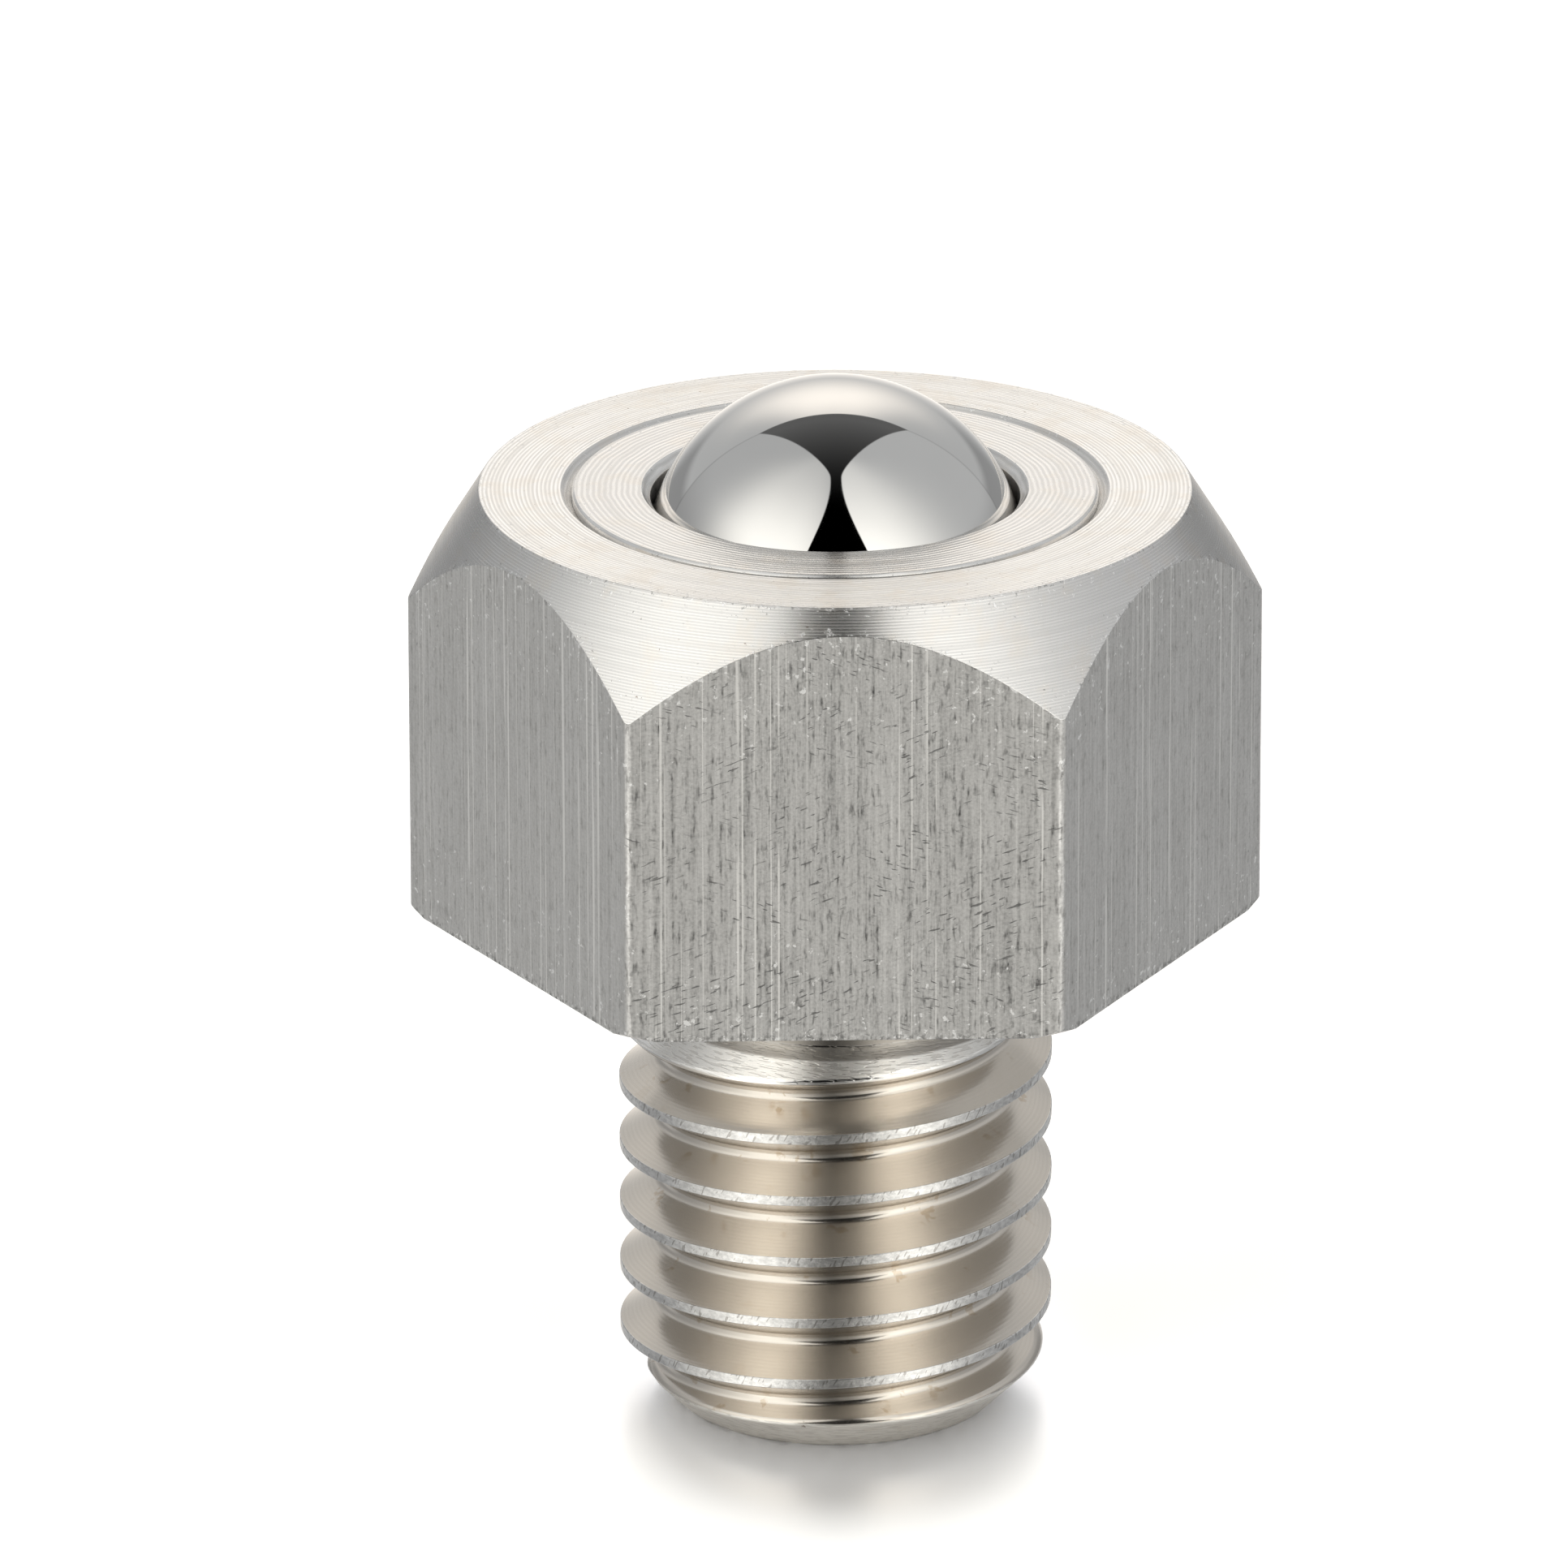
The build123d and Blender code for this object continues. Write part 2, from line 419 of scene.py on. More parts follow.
def body_mesh(head, stud):
    """Head, undercut and stud as one profile, carried round the hexagon's columns.

    The profile runs from the bottom of the ball pocket over the top face and down to the end face.
    """
    turns, hexagon, worn = hexagon_columns(FLAT_RADIUS, head.corner_round)
    profile = Profile(len(turns))
    ease = head.edge_break
    drop = (hexagon - head.top_radius) / math.tan(head.cone_angle)
    rise = np.maximum((hexagon - head.seat_radius) * math.tan(head.seat_chamfer), ease)
    inward = np.maximum(hexagon - head.seat_radius, ease)
    corners = [
        points(POCKET_RADIUS, BALL_Z),
        points(POCKET_RADIUS, TOP_Z - head.pocket_chamfer),
        points(POCKET_RADIUS + head.pocket_chamfer, TOP_Z),
        points(head.top_radius, TOP_Z),
        points(hexagon, TOP_Z - drop),
        points(hexagon, SEAT_Z + rise),
        points(hexagon - inward, SEAT_Z),
        points(stud.neck_radius + stud.neck_relief, SEAT_Z),
    ]
    zones = [POCKET] * 2 + [TOP, CONE] + [FLATS] * 2 + [UNDERSIDE]
    profile.arc((0, BALL_Z), POCKET_RADIUS, -90, 0, 18, POCKET)
    profile.run(corners, zones, ease, wear=(0.0, 0.4, 1.0, 1.0, 1.0, 0.6))
    neck_top = SEAT_Z - stud.neck_relief
    fillet_centre = (stud.neck_radius + stud.neck_relief, neck_top)
    profile.arc(fillet_centre, stud.neck_relief, 90, 180, 6, STUD)
    foot = SEAT_Z - stud.neck_length + stud.edge_break
    for share in (0.03, 0.5, 0.97, 1.0):
        profile.add(points(stud.neck_radius, neck_top + (foot - neck_top) * share), STUD)
    for row in thread_rows(turns, stud, SEAT_Z):
        profile.add(row, STUD)
    for share in (1.0, 0.98, 0.7, 0.3, 0.0):
        profile.add(points(stud.end_radius * share, 0.0), STUD)
    return lathe("turned_body", turns, profile, worn)


def ring_mesh(ring, columns=180):
    """The ring's profile, carried round: lip, top face, press-fit wall, underside and round seat.

    The seat is part of a sphere about the ball's centre, ball_gap larger than the ball.
    """
    turns = np.linspace(0, math.tau, columns + 1)
    lip = BALL_RADIUS - ring.grip
    seat = BALL_RADIUS + ring.ball_gap
    outer = RING_HIGH.x
    low_turn = math.asin((RING_LOW.z - BALL_Z) / seat)
    high_turn = math.acos(lip / seat)
    corners = [
        points(lip, BALL_Z + seat * math.sin(high_turn)),
        points(lip, TOP_Z - ring.lip_chamfer),
        points(lip + ring.lip_chamfer, TOP_Z),
        points(outer - ring.edge_chamfer, TOP_Z),
        points(outer, TOP_Z - ring.edge_chamfer),
        points(outer, RING_LOW.z),
        points(seat * math.cos(low_turn), RING_LOW.z),
    ]
    profile = Profile(len(turns))
    profile.arc((0, BALL_Z), seat, math.degrees(low_turn), math.degrees(high_turn), 10, 0)
    profile.run(corners, [0] * 6, ring.edge_break, wear=(0.0, 0.2, 0.4, 0.2, 0.0))
    return lathe("pressed_ring", turns, profile)


def globe(centre, radius, columns, rows):
    """Corners and faces of a sphere: centre + radius * (sin p cos t, sin p sin t, cos p)."""
    turns = np.linspace(0, math.tau, columns + 1)
    polar = np.linspace(0, math.pi, rows + 1)[:, None]
    place = around(radius * np.sin(polar), turns, radius * np.cos(polar))
    return place.reshape(-1, 3) + centre, grid_faces(rows + 1, columns + 1)


def ball_bed_centres(balls):
    """Where the load balls lie: level rows between the main ball and the cup, from the lowest point up."""
    circle = BALL_RADIUS + balls.gap + balls.radius
    step = 2 * balls.radius + balls.spacing
    row_angle = 2 * math.asin(step / 2 / circle)
    highest = RING_LOW.z - balls.headroom - balls.radius
    rows = int(math.acos((BALL_Z - highest) / circle) / row_angle)
    centres = [np.array([[0, 0, BALL_Z - circle]])]
    for row in range(1, rows + 1):
        radius = circle * math.sin(row * row_angle)
        height = BALL_Z - circle * math.cos(row * row_angle)
        count = int(math.pi / math.asin(step / 2 / radius))
        turns = math.tau * (np.arange(count) + row / 2) / count
        centres.append(around(radius, turns, height))
    return np.concatenate(centres)


def ball_bed_mesh(balls, columns=16, rows=8):
    """All the load balls in one mesh: one sphere's points, shifted to every centre at once."""
    place, faces = globe((0, 0, 0), balls.radius, columns, rows)
    centres = ball_bed_centres(balls)
    places = (centres[:, None] + place).reshape(-1, 3)
    shift = np.arange(len(centres)) * len(place)
    all_faces = (faces + shift[:, None, None]).reshape(-1, 4)
    return welded(new_mesh("load_ball_bed", places, all_faces))


# Node trees


WHITE = (1.0, 1.0, 1.0)


def connect(socket, value):
    """Links an output to the socket, or sets the socket's own value."""
    if isinstance(value, Wire):
        value.tree.links.new(value.socket, socket)
    else:
        socket.default_value = value


def add(tree, kind, inputs=(), **options):
    """The outputs of a new node, with its options set and each named or numbered input connected."""
    node = tree.nodes.new(kind)
    for key, value in options.items():
        setattr(node, key, value)
    for key, value in dict(inputs).items():
        connect(node.inputs[key], value)
    return Outputs(node)


class Outputs:
    """A node's outputs, by name or by number."""

    def __init__(self, node):
        self.node = node

    def __getitem__(self, key):
        return Wire(self.node.outputs[key])


class Wire:
    """A node's output. Arithmetic with it adds the nodes that work out the result."""

    def __init__(self, socket):
        self.socket = socket
        self.tree = socket.id_data

    def math(self, operation, *others):
        """A Math node's output, with this one as its first value."""
        return add(self.tree, "ShaderNodeMath", enumerate((self, *others)), operation=operation)[0]

    def vector(self, operation, *others, output="Vector"):
        """A Vector Math node's output, with this one as its first vector."""
        given = enumerate((self, *others))
        return add(self.tree, "ShaderNodeVectorMath", given, operation=operation)[output]

    def __add__(self, other):
        return self.math("ADD", other)

    def __sub__(self, other):
        return self.math("SUBTRACT", other)

    def __rsub__(self, other):
        return self.math("MULTIPLY_ADD", -1.0, other)

    def __mul__(self, other):
        return self.math("MULTIPLY", other)

    def __truediv__(self, other):
        return self.math("DIVIDE", other)

    def __pow__(self, other):
        return self.math("POWER", other)

    def __abs__(self):
        return self.math("ABSOLUTE")

    __radd__ = __add__
    __rmul__ = __mul__

    def at_least(self, other):
        """The greater of the two."""
        return self.math("MAXIMUM", other)

    def ramp(self, low, high, to_low=0.0, to_high=1.0, smooth=True):
        """Its range from low to high brought to another range, and held within that."""
        given = {"Value": self, "From Min": low, "From Max": high, "To Min": to_low, "To Max": to_high}
        kind = "SMOOTHSTEP" if smooth else "LINEAR"
        return add(self.tree, "ShaderNodeMapRange", given, interpolation_type=kind)[0]

    def within(self, value):
        """1 where this mask is 0, and the value where it is 1."""
        return (value - 1.0) * self + 1.0

    def blend(self, first, second):
        """The first colour where this mask is 0, and the second where it is 1."""
        given = {0: self, 6: first, 7: second}
        return add(self.tree, "ShaderNodeMix", given, data_type="RGBA")[2]

    def noise(self, scale, detail=3.0, roughness=0.5):
        """A noise texture's value at this place."""
        given = {"Vector": self, "Scale": scale, "Detail": detail, "Roughness": roughness}
        return add(self.tree, "ShaderNodeTexNoise", given)[0]

    def split(self):
        """This vector's three parts."""
        parts = add(self.tree, "ShaderNodeSeparateXYZ", {0: self})
        return parts[0], parts[1], parts[2]


def joined(*parts):
    """The vector of up to three parts, of which at least one is an output."""
    tree = next(part.tree for part in parts if isinstance(part, Wire))
    return add(tree, "ShaderNodeCombineXYZ", enumerate(parts))[0]


def scaled(vector, factor):
    """A vector or colour times a number, of which at least one is an output."""
    tree = (vector if isinstance(vector, Wire) else factor).tree
    return add(tree, "ShaderNodeVectorMath", {0: vector, "Scale": factor}, operation="SCALE")[0]


def four(rgb, factor=1.0):
    """An opaque colour, made lighter or darker by a factor."""
    return (*(channel * factor for channel in rgb), 1.0)


class Group:
    """A shader node group being built. Its inputs are read by name, and give() sets its outputs.

    The inputs are given by their defaults: a number, a vector of three or a colour of four.
    """

    def __init__(self, name, inputs, **outputs):
        self.tree = bpy.data.node_groups.new(name, "ShaderNodeTree")
        kinds = {1: "NodeSocketFloat", 3: "NodeSocketVector", 4: "NodeSocketColor"}
        for socket, default in inputs.items():
            kind = kinds[np.size(default)]
            made = self.tree.interface.new_socket(socket, in_out="INPUT", socket_type=kind)
            made.default_value = default
        for socket, kind in outputs.items():
            self.tree.interface.new_socket(socket, in_out="OUTPUT", socket_type="NodeSocket" + kind)
        self.given = add(self.tree, "NodeGroupInput")

    def __getitem__(self, key):
        return self.given[key]

    def give(self, **values):
        add(self.tree, "NodeGroupOutput", values)
        return self.tree


def shared(tree, build, inputs=(), **more):
    """The outputs of a placed node group, which is built the first time, and named after its builder."""
    name = build.__name__.removeprefix("build_")
    group = bpy.data.node_groups.get(name) or build(name)
    return add(tree, "ShaderNodeGroup", dict(inputs, **more), node_tree=group)


# Surface patterns


def build_place(name):
    """Place in millimetres, distance from the axis, and the point of the unit circle at the same turn."""
    group = Group(name, {}, Place="Vector", Radius="Float", Round="Vector", Height="Float")
    place = scaled(add(group.tree, "ShaderNodeTexCoord")["Object"], 1 / MM)
    x, y, height = place.split()
    flat = joined(x, y)
    radius = flat.vector("LENGTH", output="Value")
    return group.give(Place=place, Radius=radius, Round=flat.vector("NORMALIZE"), Height=height)


def build_tool_marks(name):
    """Marks of a turning tool: uneven lines at a constant Across, which come and go round the axis."""
    inputs = {"Round": (0, 0, 0), "Across": 0.0, "Feed": 0.1, "Break": 1.5}
    group = Group(name, inputs, Height="Float", Shade="Float")
    side = scaled(group["Round"], group["Break"])
    x, y, _ = side.split()
    lines = group["Across"] / group["Feed"] + side.noise(0.8, 1.0) * 0.9
    spot = joined(x, y, lines)
    depth = joined(0, 0, lines).noise(0.35, 1.0).ramp(0.35, 0.65, 0.3, 0.7)
    ridge = ((lines * math.tau).math("SINE") * 0.5 + 0.5) * depth
    coarse = spot.noise(0.8, 2.0, 0.6)
    fine = spot.noise(2.7, 2.0, 0.6)
    height = coarse * 0.3 + fine * 0.35 + ridge
    return group.give(Height=height, Shade=height.ramp(0.3, 0.85))


def build_specks(name):
    """Small stains and pits, scattered by a noise that only passes its threshold here and there."""
    group = Group(name, {"Place": (0, 0, 0), "Scale": 6.0, "Rarity": 0.7}, Mask="Float")
    rarity = group["Rarity"]
    shape = group["Place"].noise(group["Scale"], 4.0, 0.6)
    return group.give(Mask=shape.ramp(rarity, rarity + 0.035))


def build_strokes(name):
    """Short thin strokes at a tilt, where a stretched noise passes its threshold."""
    inputs = {"Lay": (0, 0, 0), "Tilt": 0.0, "Stretch": (4.0, 15.0, 1.0), "Rarity": 0.65}
    group = Group(name, inputs, Mask="Float")
    rarity = group["Rarity"]
    given = {"Vector": group["Lay"], "Angle": group["Tilt"]}
    turned = add(group.tree, "ShaderNodeVectorRotate", given, rotation_type="Z_AXIS")[0]
    shape = turned.vector("MULTIPLY", group["Stretch"]).noise(1.0, 1.0)
    return group.give(Mask=shape.ramp(rarity, rarity + 0.06))


def build_drawn_marks(name):
    """Marks along a drawn bar, from a Lay of turn and height in millimetres.

    Tone is a brightness about 1, of long lines, shorter lines, grain and soft patches, and Lines is the
    part of it that the lines make. Hair is 1 on bright hairlines. Dent is 1 on short dark strokes, which
    lie in loose groups of one slant or the other where Marked is 1.
    """
    inputs = {"Lay": (0, 0, 0), "Marked": 1.0}
    group = Group(name, inputs, Tone="Float", Lines="Float", Hair="Float", Dent="Float")
    lay, marked = group["Lay"], group["Marked"]

    def marks(across, along, detail=2.0):
        return lay.vector("MULTIPLY", (across, along, 1.0)).noise(1.0, detail)

    lines = 0.0
    for across, along, weight in ((12.0, 0.03, 0.55), (12.5, 0.25, 1.05), (0.7, 0.5, 0.35)):
        lines = (marks(across, along) - 0.5) * weight + lines
    grain = marks(12.0, 2.4)
    pits = grain.ramp(0.46, 0.24, 0.0, -0.52, smooth=False)
    swing = lines + grain * 0.35 - 0.12 + pits + marks(16.0, 13.0) * 0.8 - 0.4
    tone = swing * (marked * 0.5 + 0.5) + (1.0 - marked * 0.08)
    hair = marks(13.0, 0.02, 1.0).ramp(0.62, 0.67) * marks(9.0, 0.25, 1.0).ramp(0.38, 0.5)
    crowd = marks(0.45, 0.5, 3.0)
    falling = {"Tilt": -0.4, "Stretch": (3.0, 15.0, 1.0)}, crowd.ramp(0.48, 0.6, 0.12, 1.0)
    rising = {"Tilt": 0.3, "Stretch": (3.4, 17.0, 1.0)}, crowd.ramp(0.48, 0.38, 0.12, 1.0)
    dents = [
        shared(group.tree, build_strokes, slant, Lay=lay, Rarity=0.63)["Mask"] * here
        for slant, here in (falling, rising)
    ]
    dent = dents[0].at_least(dents[1]) * (marked * 0.88 + 0.12)
    return group.give(Tone=tone, Lines=lines, Hair=hair, Dent=dent)


def build_nicks(name):
    """Small dents and raised burrs, which crowd where Worn nears 1 and thin out where it falls to 0."""
    inputs = {"Place": (0, 0, 0), "Worn": 0.0, "Scale": 9.0}
    group = Group(name, inputs, Burr="Float", Dent="Float")
    worn = group["Worn"]
    rough = group["Place"].noise(group["Scale"], 3.0, 0.6)
    present = worn.ramp(0.0, 0.15)
    burr = (rough + worn * 0.1).ramp(0.66, 0.74) * present
    dent = (rough - worn * 0.09).ramp(0.32, 0.24) * present
    return group.give(Burr=burr, Dent=dent)


# Materials


class Metal:
    """Bare metal being built up: its material, its shader's inputs and its colour so far."""

    def __init__(self, name):
        self.material = bpy.data.materials.new(name)
        self.material.use_nodes = True
        self.tree = self.material.node_tree
        self.shader = self.tree.nodes["Principled BSDF"].inputs
        self.shader["Metallic"].default_value = 1.0
        self.place = shared(self.tree, build_place)
        self.tone = None

    def lay(self, narrower=1.0):
        """The turn, in millimetres at the flats or narrower, and the height."""
        turn, _, _ = add(self.tree, "ShaderNodeUVMap", uv_map="turned")[0].split()
        return joined(turn * narrower, self.place["Height"])

    def tool_marks(self, across, feed, breaks):
        given = {"Round": self.place["Round"], "Across": self.place[across]}
        return shared(self.tree, build_tool_marks, given, Feed=feed, Break=breaks)

    def specks(self, scale, rarity):
        given = {"Place": self.place["Place"], "Scale": scale, "Rarity": rarity}
        return shared(self.tree, build_specks, given)["Mask"]

    def strokes(self, lay, **inputs):
        return shared(self.tree, build_strokes, inputs, Lay=lay)["Mask"]

    def nicks(self, scale=9.0):
        """The nicks on the eased edges of the mesh."""
        worn = add(self.tree, "ShaderNodeAttribute", attribute_name="worn")["Fac"]
        return shared(self.tree, build_nicks, Place=self.place["Place"], Worn=worn, Scale=scale)

    def tint(self, mask, colour, factor=1.0):
        """Turns the colour so far into another, made lighter or darker, as far as the mask says."""
        self.tone = mask.blend(self.tone, four(colour, factor))

    def mirror_at_slant(self, share):
        """What the metal mirrors at a slant, as a share of what bare metal would."""
        self.shader["Specular Tint"].default_value = four((share,) * 3)

    def finished(self, roughness, height, relief, anisotropy, across_turn=True):
        """The material, with the height as relief in metres and its highlight along the UV map."""
        bump = {"Height": height, "Distance": relief}
        connect(self.shader["Normal"], add(self.tree, "ShaderNodeBump", bump)[0])
        tangent = add(self.tree, "ShaderNodeTangent", direction_type="UV_MAP", uv_map="turned")[0]
        connect(self.shader["Tangent"], tangent)
        self.shader["Anisotropic"].default_value = anisotropy
        self.shader["Anisotropic Rotation"].default_value = 0.25 if across_turn else 0.0
        return self.smooth(roughness)

    def smooth(self, roughness):
        """The material, without relief."""
        connect(self.shader["Base Color"], self.tone)
        connect(self.shader["Roughness"], roughness)
        return self.material


def turned_metal(name, base, across, feed, finish, stain, contrast=0.1, breaks=1.5, slant=1.0):
    """Steel with the fine rings of a turning tool at a constant radius or height, as across says.

    finish is (roughness, anisotropy, relief in metres). stain is how rare the brown specks are, and
    breaks how often a ring fades and comes back on its way round.
    """
    colours = settings().colours
    roughness, anisotropy, relief = finish
    metal = Metal(name)
    marks = metal.tool_marks(across, feed, breaks)
    metal.tone = marks["Shade"].blend(four(base, 1 - contrast), four(base, 1 + contrast / 2))
    patches = metal.place["Place"].noise(1.1, 3.0, 0.65).ramp(0.48, 0.68, 0.0, 0.25)
    metal.tint(patches, colours.film)
    nicks = metal.nicks()
    metal.tint(nicks["Burr"] * 0.8, WHITE)
    metal.tint(nicks["Dent"] * 0.6, base, 0.3)
    metal.tint(metal.specks(5.5, stain) * 0.6, colours.rust)
    metal.mirror_at_slant(slant)
    rough = marks["Shade"].ramp(0, 1, roughness * 1.12, roughness * 0.88)
    return metal.finished(rough, marks["Height"] + nicks["Burr"], relief, anisotropy)


def drawn_metal():
    """The hexagon's flats, as drawn: lines along the bar, short dents on the front, burrs at the foot."""
    flats = settings().colours.flats
    metal = Metal("drawn_flats")
    facing = metal.place["Round"].vector("DOT_PRODUCT", (0.0, -1.0, 0.0), output="Value")
    marked = facing.ramp(math.cos(math.radians(31)), math.cos(math.radians(29.5)))
    marks = shared(metal.tree, build_drawn_marks, Lay=metal.lay(), Marked=marked)
    metal.tone = scaled(tuple(flats), marks["Tone"])
    metal.tint(marks["Hair"] * 0.7, (1.0, 0.99, 0.97))
    metal.tint(marks["Dent"] * 0.8, flats, 0.22)
    foot = metal.place["Height"].ramp(SEAT_Z / MM + 0.25, SEAT_Z / MM + 0.02)
    burr = metal.place["Place"].noise(7.0, 3.0, 0.6)
    metal.tint(burr.ramp(0.52, 0.6) * foot * 0.7, flats, 0.3)
    metal.tint(burr.ramp(0.42, 0.34) * foot * 0.7, WHITE)
    nicks = metal.nicks(6.0)
    metal.tint(nicks["Burr"] * 0.8, WHITE)
    metal.tint(nicks["Dent"] * 0.5, flats, 0.4)
    rough = marks["Tone"].ramp(0.7, 1.3, 0.42, 0.34)
    height = marks["Lines"] - marks["Dent"] * 2.0 + nicks["Burr"]
    return metal.finished(rough, height, 3e-6, 0.8, across_turn=False)


def thread_metal():
    """The stud: smooth warm flanks, scratched silver crests, painted shade in the undercut and a few stains.
    """
    stud = settings().stud
    colours = settings().colours
    metal = Metal("thread")
    metal.mirror_at_slant(0.9)
    radius, height = metal.place["Radius"], metal.place["Height"]
    marks = metal.tool_marks("Radius", 0.09, 2.5)
    metal.tone = marks["Shade"].blend(four(colours.thread, 0.98), four(colours.thread, 1.01))
    root_radius = (stud.nominal_radius - stud.pitch * math.sqrt(3) / 2 * 17 / 24) / MM
    in_root = radius.ramp(root_radius + 0.45, root_radius + 0.25)
    metal.tint(metal.specks(1.3, 0.62) * (in_root * 0.4 + 0.1), colours.stain)

    neck_bottom = (SEAT_Z - stud.neck_length) / MM
    off_runout = radius + height - (neck_bottom + stud.neck_radius / MM)
    off_chamfer = radius - height - stud.end_radius / MM
    runout, chamfer = [abs(off).ramp(0.06, 0.03) for off in (off_runout, off_chamfer)]
    # Painted shade: the undercut and the top of the run-out below it are darkened to stand in for the shade
    # under the head
    neck_painted_shade = height.ramp(neck_bottom - 0.27, neck_bottom - 0.22)
    metal.tint(runout, colours.turned, 0.95)
    # Painted shade under the head, on the undercut
    metal.tint(neck_painted_shade * 0.85, colours.thread, 0.38)
    metal.tint(chamfer * 0.6, colours.turned)

    crest_from = stud.crest_radius / MM - 0.03
    crest = radius.ramp(crest_from, crest_from + 0.02)
    lay = metal.lay(stud.crest_radius / FLAT_RADIUS)
    grain = lay.vector("MULTIPLY", (5.0, 9.0, 1.0)).noise(1.0, 3.0, 0.6)
    silver = scaled(tuple(colours.crest), grain.ramp(0.3, 0.7, 0.84, 1.12))
    metal.tone = crest.blend(metal.tone, silver)
    scratches = crest * metal.strokes(lay, Tilt=0.5, Stretch=(12.0, 3.0, 1.0), Rarity=0.6)
    metal.tint(scratches * 0.55, colours.thread, 0.35)
    cones = runout.at_least(chamfer)
    scores = cones * metal.strokes(lay, Tilt=0.04, Stretch=(2.2, 24.0, 1.0), Rarity=0.52)
    metal.tint(scores * 0.25, colours.thread, 0.5)
    metal.tint(metal.specks(1.9, 0.75) * 0.6, colours.rust)
    rough = 0.2 - runout * 0.05 + crest * 0.06 + chamfer * 0.2
    relief = grain * crest * 2.0 - scores + marks["Height"] * 0.25
    return metal.finished(rough, relief, 3e-6, 0.4)


def ball_metal():
    """A polished bearing ball, not quite evenly bright."""
    ball = settings().colours.ball
    metal = Metal("polished_ball")
    haze = metal.place["Place"].noise(1.5, 3.0, 0.5)
    metal.tone = haze.blend(four(ball, 0.98), four(ball, 1.02))
    return metal.smooth(haze.ramp(0.3, 0.7, 0.015, 0.035))


# Studio


def build_glow(name):
    """The light of one soft panel in a direction: an even base, and a warm spot that fades out round it.

    All directions are in degrees. The spot fades as exp(-(|across|^3 + rise^2)).
    """
    inputs = {
        "Azimuth": 0.0,
        "Elevation": 0.0,
        "Spot Azimuth": 0.0,
        "Spot Elevation": 12.0,
        "Spot Width": 42.7,
        "Spot Height": 47.8,
        "Spot": 0.73,
        "Base": 0.372,
        "Base Colour": (0.985, 0.995, 1.0, 1.0),
        "Spot Colour": (1.0, 0.97, 0.89, 1.0),
    }
    group = Group(name, inputs, Light="Color")
    across = (group["Azimuth"] - group["Spot Azimuth"]) / group["Spot Width"]
    rise = (group["Elevation"] - group["Spot Elevation"]) / group["Spot Height"]
    away = abs(across) ** 3.0 + rise * rise
    spot = scaled(group["Spot Colour"], (away * -1.0).math("EXPONENT") * group["Spot"])
    base = scaled(group["Base Colour"], group["Base"])
    return group.give(Light=base.vector("ADD", spot))


def build_tent(name):
    """The light that comes from each direction inside the photographer's light tent.

    Two side panels leave a narrow slit open at the front and a gap overhead that widens to the back,
    where a third panel closes it. Outlines are drawn on a chart of the sky with the zenith in the middle
    and 90 degrees at the rim, with `side` and `behind` as its axes, in degrees. Below the horizon the
    glossy table mirrors the panels, dimmer where it is seen at a slant, and is dark on the camera's side.
    """
    group = Group(name, {}, Light="Color")
    x, y, z = add(group.tree, "ShaderNodeTexCoord")["Generated"].split()
    turn = x.math("ARCTAN2", y)
    azimuth = turn.math("DEGREES")
    elevation = z.math("ARCSINE").math("DEGREES")
    from_pole = 90.0 - abs(elevation)
    side = abs(from_pole * turn.math("SINE"))
    behind = from_pole * turn.math("COSINE")

    rear = (behind + 16.5).at_least(0.0)
    rear = ((rear * rear + 25.0).math("SQRT") - 5.0) * 0.6
    fore = (behind + 17.0).math("MINIMUM", 0.0)
    slit = rear + fore * fore * 0.0105 + 3.0
    in_side = (side - slit).ramp(-0.5, 0.5)
    in_back = behind.ramp(32.7, 33.7)
    lit = in_side.at_least(in_back)
    seam = 52.0 - (elevation.at_least(0.0) / 48.0) ** 4.0 * 12.0
    past_seam = abs(azimuth) - seam
    on_back = past_seam.ramp(0.5, -0.5) * in_back
    groove = abs(past_seam).ramp(0.0, 1.2, 0.8, 1.0)

    where = {"Azimuth": azimuth, "Elevation": elevation.at_least(elevation * -0.4)}
    left = shared(group.tree, build_glow, where, **{"Spot Azimuth": -134.7})["Light"]
    spot = {"Spot Azimuth": 173.0, "Spot Elevation": -51.0, "Spot Width": 56.4, "Spot Height": 94.6}
    right = shared(group.tree, build_glow, {**where, **spot}, Spot=1.4, Base=0.4)["Light"]
    on_right = azimuth.math("GREATER_THAN", 0.0)
    low_light = abs(azimuth).ramp(105.0, 135.0, 0.67, 1.0)
    low_light = elevation.ramp(30.0 - on_right * 14.0, -2.0).within(low_light)
    low_light = low_light * elevation.ramp(-25.0, -50.0, 1.0, 1.55)
    sides = scaled(on_right.blend(left, right), low_light)

    where["Elevation"] = elevation.at_least(15.0 - elevation)
    spot = {"Spot Elevation": 39.0, "Spot Height": 25.0, "Spot Colour": (1.0, 0.905, 0.79, 1.0)}
    spot["Spot Width"] = elevation.ramp(0.0, 30.0, 16.0, 27.0)
    back = shared(group.tree, build_glow, {**where, **spot}, Spot=0.6, Base=0.385)["Light"]
    low_back = abs(azimuth).ramp(15.0, 32.0, 1.0, 0.62)
    back = scaled(back, abs(elevation - 2.0).ramp(12.0, 5.0).within(low_back))

    panels = scaled(on_back.blend(sides, back), groove)
    gap = behind.ramp(-36.0, 28.0, smooth=False)
    above = lit.blend(gap * gap * 0.095, panels)
    open_side = (side / (from_pole * 0.15 + 17.0)).ramp(0.2, 1.8, 0.12, 1.0)
    table_light = behind.ramp(10.0, -10.0).within(open_side)
    below = scaled(abs(azimuth).ramp(45.0, 60.0).blend(back, sides), table_light)
    return group.give(Light=elevation.ramp(2.0, -2.0).blend(above, below))


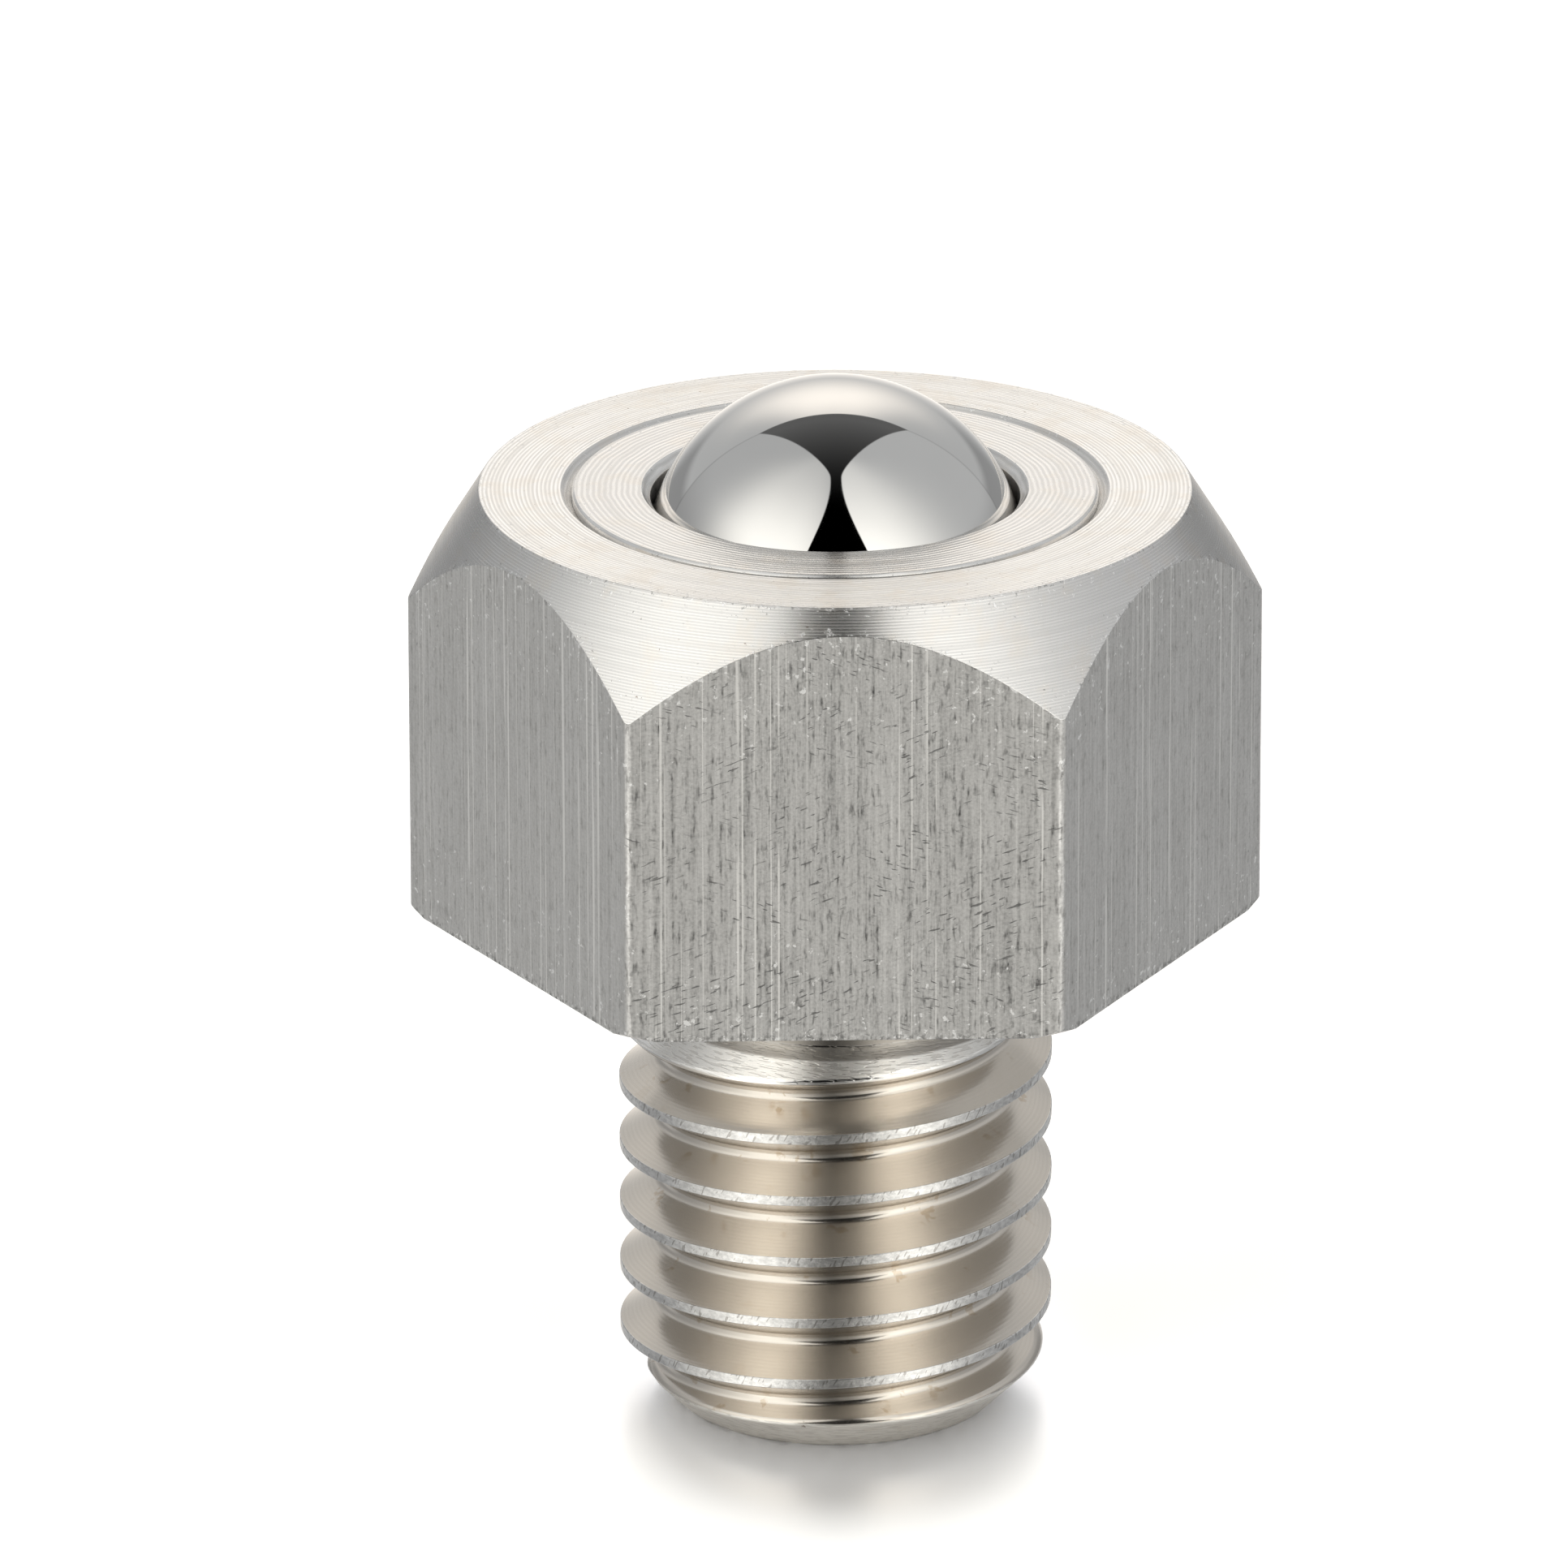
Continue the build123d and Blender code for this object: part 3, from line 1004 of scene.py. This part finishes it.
def studio_world(studio):
    """The light tent round the object, and plain white to the camera."""
    world = bpy.data.worlds.new("studio")
    bpy.context.scene.world = world
    world.use_nodes = True
    tree = world.node_tree
    tree.nodes.clear()
    tent = {"Color": shared(tree, build_tent)["Light"], "Strength": studio.light}
    soft = add(tree, "ShaderNodeBackground", tent)[0]
    white = add(tree, "ShaderNodeBackground", {"Color": four(WHITE)})[0]
    seen = add(tree, "ShaderNodeLightPath")["Is Camera Ray"]
    mixed = add(tree, "ShaderNodeMixShader", {0: seen, 1: soft, 2: white})[0]
    add(tree, "ShaderNodeOutputWorld", {0: mixed})


def floor_material(studio):
    """A white table, overexposed to the camera, so that only the object's own shade shows on it.

    Round the part's foot it is a soft mirror of the back panel, and farther off it is matt. The metal
    sees the table only close by, and beyond that sees through it to the panels that it mirrors.
    """
    material = bpy.data.materials.new("table")
    material.use_nodes = True
    tree = material.node_tree
    tree.nodes.remove(tree.nodes["Principled BSDF"])
    path = add(tree, "ShaderNodeLightPath")
    seen = path["Is Camera Ray"]
    grey = studio.floor_grey
    shade = seen.ramp(0.0, 1.0, grey, grey * studio.floor_gain, smooth=False)
    matt = add(tree, "ShaderNodeBsdfDiffuse", {"Color": shade})[0]
    shine = {"Color": four(studio.mirror_tint, studio.mirror_gain), "Roughness": studio.mirror_roughness}
    mirror = add(tree, "ShaderNodeBsdfAnisotropic", shine)[0]
    place = add(tree, "ShaderNodeTexCoord")["Object"].vector("MULTIPLY", (1.5, 1.0, 1.0))
    reach = place.vector("LENGTH", output="Value")
    gloss = reach.ramp(studio.mirror_inner, studio.mirror_outer, studio.mirror_share, 0.0) * seen
    table = add(tree, "ShaderNodeMixShader", {0: gloss, 1: matt, 2: mirror})[0]
    far = path["Ray Length"].ramp(studio.floor_near, 2 * studio.floor_near)
    from_metal = path["Is Glossy Ray"].at_least(path["Is Shadow Ray"])
    underside = add(tree, "ShaderNodeNewGeometry")["Backfacing"] * seen
    clear = (from_metal * far).at_least(underside)
    nothing = add(tree, "ShaderNodeBsdfTransparent")[0]
    mixed = add(tree, "ShaderNodeMixShader", {0: clear, 1: table, 2: nothing})[0]
    connect(tree.nodes["Material Output"].inputs[0], mixed)
    return material


def aim_camera(studio):
    """The photograph's view: a long lens, looking down at the part from the front."""
    e = studio.elevation
    spin = Matrix.Rotation(studio.azimuth, 3, "Z")
    ahead = spin @ Vector((0, math.cos(e), -math.sin(e)))
    right = spin @ Vector((1, 0, 0))
    up = spin @ Vector((0, math.sin(e), math.cos(e)))
    c, s = math.cos(studio.roll), math.sin(studio.roll)
    right, up = right * c + up * s, up * c - right * s
    data = bpy.data.cameras.new("camera")
    data.lens = studio.lens
    data.sensor_width = 36.0
    data.clip_start = 0.01
    data.clip_end = 10.0
    camera = bpy.data.objects.new("camera", data)
    top = Vector((0, 0, TOP_Z))
    place = top - right * studio.picture_right - up * studio.picture_up - ahead * studio.distance
    camera.matrix_world = Matrix.Translation(place) @ Matrix((right, up, -ahead)).transposed().to_4x4()
    bpy.context.scene.collection.objects.link(camera)
    bpy.context.scene.camera = camera


class BALLUNIT_OT_body(Operator):
    """Build the hexagon head and threaded stud, which are one piece of steel"""

    bl_idname = "ball_unit.body"
    bl_label = "Head and Stud"

    def execute(self, context):
        unit = settings()
        tint = unit.colours
        pocket = turned_metal("turned_pocket", tint.cone, "Height", 0.08, (0.3, 0.6, 3e-6), 0.8)
        top = turned_metal(
            "turned_top", tint.turned, "Radius", 0.095, (0.36, 0.5, 11e-6), 0.68, contrast=0.18, breaks=2.5
        )
        cone = turned_metal(
            "turned_cone", tint.cone, "Height", 0.06, (0.28, 0.5, 3e-6), 0.72,
            contrast=0.08, breaks=4.0, slant=0.65,
        )
        seat = turned_metal("turned_seat", tint.turned, "Radius", 0.1, (0.15, 0.4, 2e-6), 0.8)
        materials = [pocket, top, cone, drawn_metal(), seat, thread_metal()]
        piece("turned_body", body_mesh(unit.head, unit.stud), "hex_body", materials)
        return {"FINISHED"}


class BALLUNIT_OT_ring(Operator):
    """Build the ring that is pressed in over the balls"""

    bl_idname = "ball_unit.ring"
    bl_label = "Retaining Ring"

    def execute(self, context):
        unit = settings()
        tint = unit.colours
        steel = turned_metal(
            "turned_ring", tint.ring, "Radius", 0.13, (0.26, 0.5, 8e-6), 0.72, contrast=0.14, breaks=6.0
        )
        piece("pressed_ring", ring_mesh(unit.ring), "retaining_ring", [steel])
        return {"FINISHED"}


class BALLUNIT_OT_balls(Operator):
    """Build the main ball and the bed of load balls under it"""

    bl_idname = "ball_unit.balls"
    bl_label = "Balls"

    def execute(self, context):
        steel = ball_metal()
        ball = globe((0, 0, BALL_Z), BALL_RADIUS, columns=192, rows=96)
        piece("polished_ball", welded(new_mesh("polished_ball", *ball)), "main_ball", [steel])
        piece("load_ball_bed", ball_bed_mesh(settings().balls), "load_balls", [steel])
        return {"FINISHED"}


class BALLUNIT_OT_studio(Operator):
    """Set up the table, the soft lights and the camera"""

    bl_idname = "ball_unit.studio"
    bl_label = "Studio"

    def execute(self, context):
        studio = settings().studio
        half = 2.0
        corners = [(-half, -half, 0), (half, -half, 0), (half, half, 0), (-half, half, 0)]
        mesh = new_mesh("table", corners, [range(4)])
        mesh.materials.append(floor_material(studio))
        table = bpy.data.objects.new("table", mesh)
        bpy.context.scene.collection.objects.link(table)
        studio_world(studio)
        aim_camera(studio)
        context.scene.view_settings.view_transform = "Standard"
        return {"FINISHED"}


class BALLUNIT_PT_panel(Panel):
    """The unit's pieces and settings, in the sidebar"""

    bl_label = "Ball Unit"
    bl_idname = "BALLUNIT_PT_panel"
    bl_space_type = "VIEW_3D"
    bl_region_type = "UI"
    bl_category = "Ball Unit"

    def draw(self, context):
        column = self.layout.column()
        for operator in OPERATORS:
            column.operator(operator.bl_idname)
        unit = settings()
        for group in (unit.head, unit.stud, unit.ring, unit.balls, unit.colours, unit.studio):
            box = self.layout.box()
            for name in group.__annotations__:
                box.prop(group, name)


OPERATORS = (BALLUNIT_OT_body, BALLUNIT_OT_ring, BALLUNIT_OT_balls, BALLUNIT_OT_studio)
GROUPS = (HeadSizes, StudSizes, RingSizes, BallSizes, FinishColours, StudioSettings, UnitSettings)
CLASSES = GROUPS + OPERATORS + (BALLUNIT_PT_panel,)


def register():
    for item in CLASSES:
        bpy.utils.register_class(item)
    bpy.types.Scene.ball_unit = PointerProperty(type=UnitSettings)


def unregister():
    del bpy.types.Scene.ball_unit
    for item in reversed(CLASSES):
        bpy.utils.unregister_class(item)


def main():
    register()
    bpy.ops.ball_unit.body()
    bpy.ops.ball_unit.ring()
    bpy.ops.ball_unit.balls()
    bpy.ops.ball_unit.studio()


if __name__ == "__main__":
    main()
